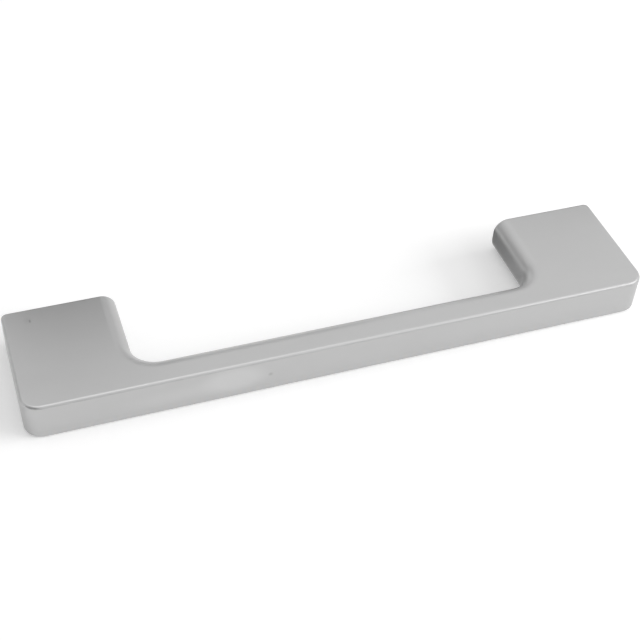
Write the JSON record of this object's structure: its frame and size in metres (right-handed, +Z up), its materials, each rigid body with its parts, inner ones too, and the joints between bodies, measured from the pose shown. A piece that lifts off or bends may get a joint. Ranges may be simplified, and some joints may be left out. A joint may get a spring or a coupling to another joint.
{
  "type": "drawer handle",
  "caption": "Flat one-piece cast drawer handle with broad legs, a slim grip bar, a rolled finger opening between them and tapped screw holes in the rear faces.",
  "frame": {"origin": "on the mounting plane, midway between the tapped screw holes, at half the thickness", "axes": "+X along the grip, +Y into the drawer front that the handle is screwed to, +Z up through the flat top face"},
  "size_m": [0.1552, 0.0322, 0.0098],
  "materials": {
    "satin_nickel": "satin nickel plate on a zinc die casting"
  },
  "bodies": {
    "root": {"handle": "satin_nickel"}
  },
  "joints": []
}
